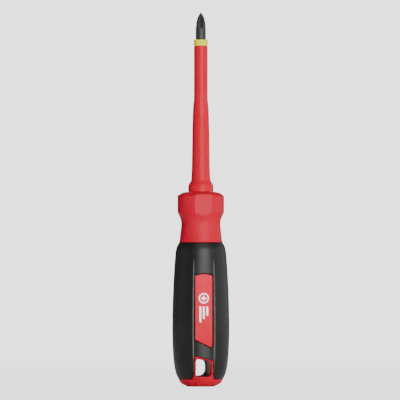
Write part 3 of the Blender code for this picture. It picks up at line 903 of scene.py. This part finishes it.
def raised_dash_tree():
    """Column of rounded dashes down a round surface: its radius may change along the column."""
    tree = bpy.data.node_groups.new("raised_dashes", "GeometryNodeTree")
    face = tree.interface
    face.new_socket("Geometry", in_out="OUTPUT", socket_type="NodeSocketGeometry")
    face.new_socket("Count", in_out="INPUT", socket_type="NodeSocketInt")
    for name in DASH_SIZES:
        face.new_socket(name, in_out="INPUT", socket_type="NodeSocketFloat")
    face.new_socket("Material", in_out="INPUT", socket_type="NodeSocketMaterial")
    given = new_node(tree, "NodeGroupInput").outputs
    bend = new_node(tree, "GeometryNodeSetPosition")
    join(tree, straight_dashes(tree, given), bend.inputs["Geometry"])
    join(tree, bent_place(tree, given), bend.inputs["Position"])
    dress = new_node(tree, "GeometryNodeSetMaterial")
    join(tree, bend.outputs["Geometry"], dress.inputs["Geometry"])
    join(tree, given["Material"], dress.inputs["Material"])
    result = new_node(tree, "NodeGroupOutput")
    join(tree, dress.outputs["Geometry"], result.inputs["Geometry"])
    return tree


def make_dashes(name, tree, material, columns):
    """One piece made of several columns of dashes, each a dictionary of the tree's inputs."""
    meshes = []
    for column in columns:
        obj = show(name, bpy.data.meshes.new(name))
        modifier = obj.modifiers.new("dashes", "NODES")
        modifier.node_group = tree
        for item in tree.interface.items_tree:
            if item.in_out == "INPUT":
                value = material if item.name == "Material" else column[item.name]
                modifier[item.identifier] = value
        obj.update_tag()
        bpy.context.view_layer.update()
        bake_modifiers(obj)
        meshes.append(obj.data)
        bpy.data.objects.remove(obj, do_unlink=True)
    shape = bmesh.new()
    for mesh in meshes:
        shape.from_mesh(mesh)
    whole = bpy.data.meshes.new(name)
    shape.to_mesh(whole)
    shape.free()
    return finish_piece(show(name, whole), material, None, 60.0)


def dash_column(count, spacing, length, width, height, top_z, facing, side):
    """Inputs for one column of dashes on a surface whose radius is given by its side points."""
    foot_z = top_z - spacing * (count - 1)
    top_r, foot_r = smooth_curve(side, [top_z, foot_z])
    sizes = (spacing, length, width, height, float(top_r), float(foot_r), top_z, math.radians(facing))
    return {"Count": count, **dict(zip(DASH_SIZES, sizes))}


# ---------------------------------------------------------------- materials


def effect_group(name, inputs, outputs):
    """Empty shader group with named inputs and outputs, and its two end nodes."""
    tree = bpy.data.node_groups.new(name, "ShaderNodeTree")
    for label, kind, value in inputs:
        socket = tree.interface.new_socket(label, in_out="INPUT", socket_type=kind)
        if value is not None:
            socket.default_value = value
    for label, kind in outputs:
        tree.interface.new_socket(label, in_out="OUTPUT", socket_type=kind)
    return tree, new_node(tree, "NodeGroupInput"), new_node(tree, "NodeGroupOutput")


def noise(tree, vector, scale, detail, roughness):
    node = new_node(tree, "ShaderNodeTexNoise")
    node.inputs["Detail"].default_value = detail
    node.inputs["Roughness"].default_value = roughness
    join(tree, vector, node.inputs["Vector"])
    join(tree, scale, node.inputs["Scale"])
    return node


def remap(tree, value, low, high, to_low, to_high):
    """The value's range from low to high spread smoothly over another range."""
    node = new_node(tree, "ShaderNodeMapRange")
    node.interpolation_type = "SMOOTHSTEP"
    join(tree, value, node.inputs["Value"])
    for label, number in zip(("From Min", "From Max", "To Min", "To Max"), (low, high, to_low, to_high)):
        node.inputs[label].default_value = number
    return node.outputs["Result"]


def make_moulded_skin_group():
    """Fine texture of a moulded surface, and the slow mottle of the plastic under it."""
    tree, given, result = effect_group(
        "moulded_skin",
        [
            ("Vector", "NodeSocketVector", None),
            ("Grain", "NodeSocketFloat", 2200.0),
            ("Mottle", "NodeSocketFloat", 90.0),
        ],
        [("Height", "NodeSocketFloat"), ("Mottle", "NodeSocketFloat"), ("Speckle", "NodeSocketFloat")],
    )
    fine = noise(tree, given.outputs["Vector"], given.outputs["Grain"], 4.0, 0.62)
    cells = new_node(tree, "ShaderNodeTexVoronoi")
    join(tree, given.outputs["Vector"], cells.inputs["Vector"])
    join(tree, given.outputs["Grain"], cells.inputs["Scale"])
    pits = maths(tree, "MULTIPLY_ADD", cells.outputs["Distance"], 0.6, fine.outputs["Fac"])
    slow = noise(tree, given.outputs["Vector"], given.outputs["Mottle"], 3.0, 0.55)
    join(tree, pits, result.inputs["Height"])
    join(tree, remap(tree, slow.outputs["Fac"], 0.3, 0.7, 0.0, 1.0), result.inputs["Mottle"])
    join(tree, remap(tree, fine.outputs["Fac"], 0.55, 0.8, 0.0, 1.0), result.inputs["Speckle"])
    return tree


def make_handling_group():
    """Marks of use: long faint scratches along the tool, and soft smudges."""
    tree, given, result = effect_group(
        "handling_marks",
        [("Vector", "NodeSocketVector", None), ("Density", "NodeSocketFloat", 0.5)],
        [("Scratches", "NodeSocketFloat"), ("Smudges", "NodeSocketFloat")],
    )
    stretch = new_node(tree, "ShaderNodeMapping")
    stretch.inputs["Scale"].default_value = (1500.0, 1500.0, 60.0)
    stretch.inputs["Rotation"].default_value = (0.35, 0.2, 0.0)
    join(tree, given.outputs["Vector"], stretch.inputs["Vector"])
    lines = noise(tree, stretch.outputs["Vector"], 1.0, 2.0, 0.6)
    level = maths(tree, "MULTIPLY_ADD", given.outputs["Density"], 0.12, lines.outputs["Fac"])
    smudge = noise(tree, given.outputs["Vector"], 55.0, 5.0, 0.65)
    join(tree, remap(tree, level, 0.72, 0.8, 0.0, 1.0), result.inputs["Scratches"])
    join(tree, remap(tree, smudge.outputs["Fac"], 0.42, 0.68, 0.0, 1.0), result.inputs["Smudges"])
    return tree


def make_edge_group():
    """Edge mask from the piece's own edge mark, broken up by noise: real wear on the steel, a painted
    highlight on the red shell and the grip's lips.
    """
    tree, given, result = effect_group(
        "edge_wear_and_highlight_mask",
        [("Vector", "NodeSocketVector", None), ("Edge", "NodeSocketFloat", 0.0)],
        [("Mask", "NodeSocketFloat")],
    )
    patches = noise(tree, given.outputs["Vector"], 700.0, 4.0, 0.6)
    keep = remap(tree, patches.outputs["Fac"], 0.25, 0.6, 0.45, 1.0)
    join(tree, maths(tree, "MULTIPLY", given.outputs["Edge"], keep), result.inputs["Mask"])
    return tree


class Finish:
    """One material: its shader, the shared effects in it, and the colour laid on so far."""

    def __init__(self, name, effects, texture, deep, light, **plain):
        self.material = bpy.data.materials.new(name)
        self.material.use_nodes = True
        self.tree = self.material.node_tree
        self.shader = self.tree.nodes["Principled BSDF"]
        for label, value in plain.items():
            self.shader.inputs[label.replace("_", " ")].default_value = value
        self.where = new_node(self.tree, "ShaderNodeTexCoord").outputs["Object"]
        self.effects = effects
        grain, mottle = texture
        self.skin = self.effect("skin", Grain=grain, Mottle=mottle)
        self.body = self.mix(self.skin["Mottle"], deep, light)

    def effect(self, name, **values):
        """Outputs of a shared effect, on the piece's own coordinates."""
        node = new_node(self.tree, "ShaderNodeGroup")
        node.node_tree = self.effects[name]
        join(self.tree, self.where, node.inputs["Vector"])
        for label, value in values.items():
            join(self.tree, value, node.inputs[label])
        return node.outputs

    def mark(self, name):
        """A mark carried by the piece's own points."""
        node = new_node(self.tree, "ShaderNodeAttribute", attribute_name=name)
        return node.outputs["Fac"]

    def edge_wear_and_highlight(self):
        return self.effect("edges", Edge=self.mark("edge"))["Mask"]

    def scaled(self, value, amount):
        return maths(self.tree, "MULTIPLY", value, amount)

    def mix(self, share, first, second):
        """Mix two colours, each a colour or a socket."""
        node = new_node(self.tree, "ShaderNodeMix", data_type="RGBA")
        join(self.tree, share, node.inputs["Factor"])
        sockets = [s for s in node.inputs if s.type == "RGBA"]
        for socket, value in zip(sockets, (first, second)):
            join(self.tree, (*value, 1.0) if isinstance(value, tuple) else value, socket)
        return next(s for s in node.outputs if s.type == "RGBA")

    def lay(self, colour, share):
        """Lay a colour over the body by this share."""
        self.body = self.mix(share, self.body, colour)

    def changed(self, mask, amount, start):
        """A roughness, a number or a socket, changed by this amount where the mask is."""
        return maths(self.tree, "ADD", self.scaled(mask, amount), start)

    def finished(self, roughness, bump, depth):
        """The material, with its colour, its roughness and the bump of its skin connected."""
        node = new_node(self.tree, "ShaderNodeBump")
        for label, value in (("Strength", bump), ("Distance", depth), ("Height", self.skin["Height"])):
            join(self.tree, value, node.inputs[label])
        join(self.tree, node.outputs["Normal"], self.shader.inputs["Normal"])
        join(self.tree, self.body, self.shader.inputs["Base Color"])
        join(self.tree, roughness, self.shader.inputs["Roughness"])
        return self.material


def red_plastic(name, effects, deep, light, roughness, painted_edge_highlight=None, with_painted_shade=False):
    """Satin red moulding: slow mottle, fine skin, faint scratches and smudges; optionally a painted
    highlight along edges and painted shade in seams and the hang hole.
    """
    red = Finish(name, effects, (2600.0, 70.0), deep, light, Specular_IOR_Level=0.17)
    use = red.effect("handling", Density=0.35)
    red.lay(tuple(min(1.0, c * 1.1 + 0.02) for c in light), red.scaled(use["Scratches"], 0.25))
    # Painted highlight: a lighter pink along the marked edges.
    if painted_edge_highlight:
        red.lay(painted_edge_highlight, red.scaled(red.edge_wear_and_highlight(), 0.5))
    # Painted shade in the gap round the badge and deep in the hang hole.
    if with_painted_shade:
        red.lay(PAINTED_SEAM_SHADE, red.mark("painted_gap_shade"))
    worn = red.changed(use["Smudges"], 0.09, roughness)
    return red.finished(red.changed(use["Scratches"], -0.08, worn), 0.12, 0.00005)


def sleeve_red(effects):
    return red_plastic("satin_red_sleeve", effects, (0.74, 0.002, 0.024), (0.82, 0.004, 0.036), 0.34)


def handle_red(effects):
    deep, light, painted_edge_highlight = (0.7, 0.003, 0.026), (0.78, 0.005, 0.038), (0.9, 0.1, 0.12)
    return red_plastic("satin_red_handle", effects, deep, light, 0.36, painted_edge_highlight, with_painted_shade=True)


def plate_red(effects):
    # Painted light: the plate is the shell's red made lighter, as if lit more strongly from the front.
    deep, light = (0.92, 0.003, 0.036), (0.97, 0.005, 0.046)
    return red_plastic("red_name_plate", effects, deep, light, 0.34, with_painted_shade=True)


def inner_yellow(effects):
    deep, light = (0.97, 0.92, 0.001), (1.0, 0.97, 0.002)
    plain = {"Specular_IOR_Level": 0.25}
    yellow = Finish("yellow_inner_layer", effects, (2600.0, 160.0), deep, light, **plain)
    use = yellow.effect("handling", Density=0.4)
    yellow.lay((0.75, 0.62, 0.01), yellow.scaled(use["Scratches"], 0.3))
    return yellow.finished(yellow.changed(use["Smudges"], 0.1, 0.34), 0.1, 0.00005)


def grip_rubber(effects):
    deep, light, dust = (0.006, 0.006, 0.0055), (0.009, 0.009, 0.0082), (0.025, 0.025, 0.024)
    plain = {"Specular_IOR_Level": 0.45, "Sheen_Weight": 0.03, "Sheen_Roughness": 0.5}
    rubber = Finish("black_grip_rubber", effects, (2800.0, 60.0), deep, light, **plain)
    use = rubber.effect("handling", Density=0.2)
    rubber.lay(dust, rubber.scaled(rubber.skin["Speckle"], 0.3))
    rubber.lay(dust, rubber.scaled(use["Smudges"], 0.15))
    # Painted highlight: lighter channel floors, in place of the key light's sheen.
    rubber.lay((0.02, 0.02, 0.019), rubber.scaled(rubber.mark("channel"), 0.5))
    # Painted highlight: light grey lines along the channel lips.
    rubber.lay((0.235, 0.247, 0.224), rubber.edge_wear_and_highlight())
    return rubber.finished(rubber.changed(use["Smudges"], -0.05, 0.42), 0.16, 0.00006)


def oxide_steel(effects):
    deep, light = (0.04, 0.04, 0.042), (0.055, 0.055, 0.058)
    plain = {"Metallic": 0.35, "Specular_IOR_Level": 0.5}
    steel = Finish("black_oxide_steel", effects, (3000.0, 240.0), deep, light, **plain)
    use = steel.effect("handling", Density=0.6)
    steel.lay((0.12, 0.12, 0.125), steel.scaled(use["Scratches"], 0.25))
    steel.lay((0.16, 0.16, 0.165), steel.scaled(steel.edge_wear_and_highlight(), 0.5))
    return steel.finished(steel.changed(use["Smudges"], 0.1, 0.42), 0.12, 0.00004)


def core_plastic(effects):
    deep, light = (0.13, 0.13, 0.14), (0.18, 0.18, 0.19)
    plain = {"Specular_IOR_Level": 0.4}
    core = Finish("grey_glass_filled_core", effects, (1800.0, 200.0), deep, light, **plain)
    core.lay((0.32, 0.32, 0.33), core.scaled(core.skin["Speckle"], 0.4))
    return core.finished(core.changed(core.skin["Mottle"], 0.12, 0.5), 0.25, 0.00006)


def white_ink(effects):
    deep, light = (0.78, 0.76, 0.75), (0.86, 0.85, 0.84)
    # Painted light: the ink glows a little with white emission, so the print stays bright.
    plain = {"Specular_IOR_Level": 0.4, "Emission_Color": (1.0, 1.0, 1.0, 1.0)}
    plain["Emission_Strength"] = 1.2
    ink = Finish("white_ink", effects, (2600.0, 500.0), deep, light, **plain)
    use = ink.effect("handling", Density=0.5)
    ink.lay((0.7, 0.2, 0.2), ink.scaled(use["Scratches"], 0.5))
    return ink.finished(ink.changed(use["Smudges"], 0.1, 0.42), 0.08, 0.00004)


# ---------------------------------------------------------------- stage


def floor_paint():
    """Pale paint, lit mostly by its own glow, that fades out with distance from the tool."""
    paint = bpy.data.materials.new("pale_floor")
    paint.use_nodes = True
    tree = paint.node_tree
    shader = tree.nodes["Principled BSDF"]
    shader.inputs["Base Color"].default_value = (0.86, 0.86, 0.86, 1.0)
    shader.inputs["Roughness"].default_value = 0.9
    shader.inputs["Specular IOR Level"].default_value = 0.0
    where = new_node(tree, "ShaderNodeTexCoord")
    reach = new_node(tree, "ShaderNodeVectorMath", operation="LENGTH")
    join(tree, where.outputs["Object"], reach.inputs[0])
    fade = remap(tree, reach.outputs["Value"], 0.25, 1.0, 0.0, 1.0)
    clear = new_node(tree, "ShaderNodeBsdfTransparent")
    glow = new_node(tree, "ShaderNodeEmission")
    glow.inputs["Strength"].default_value = BACKDROP
    seen = new_node(tree, "ShaderNodeLightPath")
    share = maths(tree, "MULTIPLY", seen.outputs["Is Camera Ray"], 0.8)
    lit = mixed_shader(tree, share, shader, glow)
    blend = mixed_shader(tree, fade, lit, clear)
    join(tree, blend.outputs[0], tree.nodes["Material Output"].inputs["Surface"])
    return paint


def mixed_shader(tree, share, first, second):
    node = new_node(tree, "ShaderNodeMixShader")
    for socket, source in zip(node.inputs, (share, first.outputs[0], second.outputs[0])):
        join(tree, source, socket)
    return node


def make_floor():
    """Pale round floor that fades out into the backdrop."""
    mesh = bpy.data.meshes.new("floor")
    shape = bmesh.new()
    bmesh.ops.create_circle(shape, cap_ends=True, segments=96, radius=1.2)
    shape.to_mesh(mesh)
    shape.free()
    floor = show("floor", mesh)
    floor.location.z = BUTT_Z - 0.02 * MM
    mesh.materials.append(floor_paint())


def make_world():
    """Bright plain backdrop that lights the tool only faintly."""
    world = bpy.data.worlds.new("pale_backdrop")
    world.use_nodes = True
    tree = world.node_tree
    sky = tree.nodes["Background"]
    sky.inputs["Color"].default_value = (1.0, 1.0, 1.0, 1.0)
    seen = new_node(tree, "ShaderNodeLightPath")
    strength = remap(tree, seen.outputs["Is Camera Ray"], 0.0, 1.0, ROOM_LIGHT, BACKDROP)
    join(tree, strength, sky.inputs["Strength"])
    bpy.context.scene.world = world


def make_light(name, place, aim, size, power):
    light = bpy.data.lights.new(name, "AREA")
    light.shape = "RECTANGLE"
    light.size, light.size_y = size
    light.energy = power
    obj = show(name, light)
    obj.location = place
    obj.rotation_euler = (Vector(aim) - Vector(place)).to_track_quat("-Z", "Y").to_euler()
    obj.visible_camera = False
    return obj


def from_camera(turn, distance, height):
    """Point at this turn from the view direction, seen from above, and distance from the axis."""
    angle = VIEW_TURN + math.radians(turn)
    return (distance * math.sin(angle), -distance * math.cos(angle), height)


def make_lights():
    aim = (0.0, 0.0, 0.11)
    make_light("key", from_camera(16, 0.9, 0.13), aim, (0.7, 0.8), 10.6)
    make_light("right", from_camera(98, 0.8, 0.13), aim, (1.4, 0.8), 3.2)
    make_light("above", from_camera(10, 0.6, 0.85), aim, (0.9, 0.4), 1.8)
    make_light("left", from_camera(-80, 0.9, 0.13), aim, (0.8, 0.8), 0.8)
    back = make_light("back", from_camera(180, 0.85, 0.6), aim, (0.9, 0.5), 5.0)
    back.visible_glossy = False


def make_camera():
    camera = bpy.data.cameras.new("view")
    camera.sensor_width = SENSOR
    camera.lens = SENSOR * VIEW_DISTANCE / VIEW_HEIGHT
    camera.clip_start = 0.1
    camera.clip_end = 50.0
    obj = show("view", camera)
    middle = Vector((0.0, 0.0, (BUTT_Z + TIP_Z) / 2 - 0.2 * MM))
    middle += VIEW_SIDE_SHIFT * Vector((math.cos(VIEW_TURN), math.sin(VIEW_TURN), 0.0))
    back = Vector((math.sin(VIEW_TURN), -math.cos(VIEW_TURN), 0.0))
    obj.location = middle + back * VIEW_DISTANCE
    obj.rotation_euler = (-back).to_track_quat("-Z", "Y").to_euler()
    bpy.context.scene.camera = obj


# ---------------------------------------------------------------- the tool


make_camera()
make_floor()
make_world()
make_lights()

effects = {
    "skin": make_moulded_skin_group(),
    "handling": make_handling_group(),
    "edges": make_edge_group(),
}
sleeve_finish = sleeve_red(effects)
rubber_finish = grip_rubber(effects)
make_blade(oxide_steel(effects))
make_under_sleeve(inner_yellow(effects))
make_outer_sleeve(sleeve_finish)
make_shell(handle_red(effects))
make_grip(rubber_finish)
make_badge(plate_red(effects))
make_mark(white_ink(effects))

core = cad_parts["tang_core"]
core.data.materials.clear()
core.data.materials.append(core_plastic(effects))

dash_tree = raised_dash_tree()
sleeve_columns = [
    dash_column(5, 1.9 * MM, 2.6 * MM, 0.5 * MM, 0.1 * MM, 158.4 * MM, 31.0, SLEEVE_SIDE),
    dash_column(4, 3.4 * MM, 1.7 * MM, 0.5 * MM, 0.1 * MM, 158.4 * MM, -31.0, SLEEVE_SIDE),
    dash_column(4, 3.0 * MM, 1.9 * MM, 0.5 * MM, 0.1 * MM, 193.0 * MM, 33.0, SLEEVE_SIDE),
    dash_column(5, 3.0 * MM, 1.9 * MM, 0.5 * MM, 0.1 * MM, 194.0 * MM, -28.0, SLEEVE_SIDE),
]
grip_columns = [
    dash_column(6, 3.8 * MM, 6.0 * MM, 0.9 * MM, 0.16 * MM, 56.0 * MM, facing, HANDLE_SIDE)
    for facing in (60.0, 180.0, 300.0)
]
make_dashes("sleeve_raised_dashes", dash_tree, sleeve_finish, sleeve_columns)
make_dashes("grip_raised_dashes", dash_tree, rubber_finish, grip_columns)
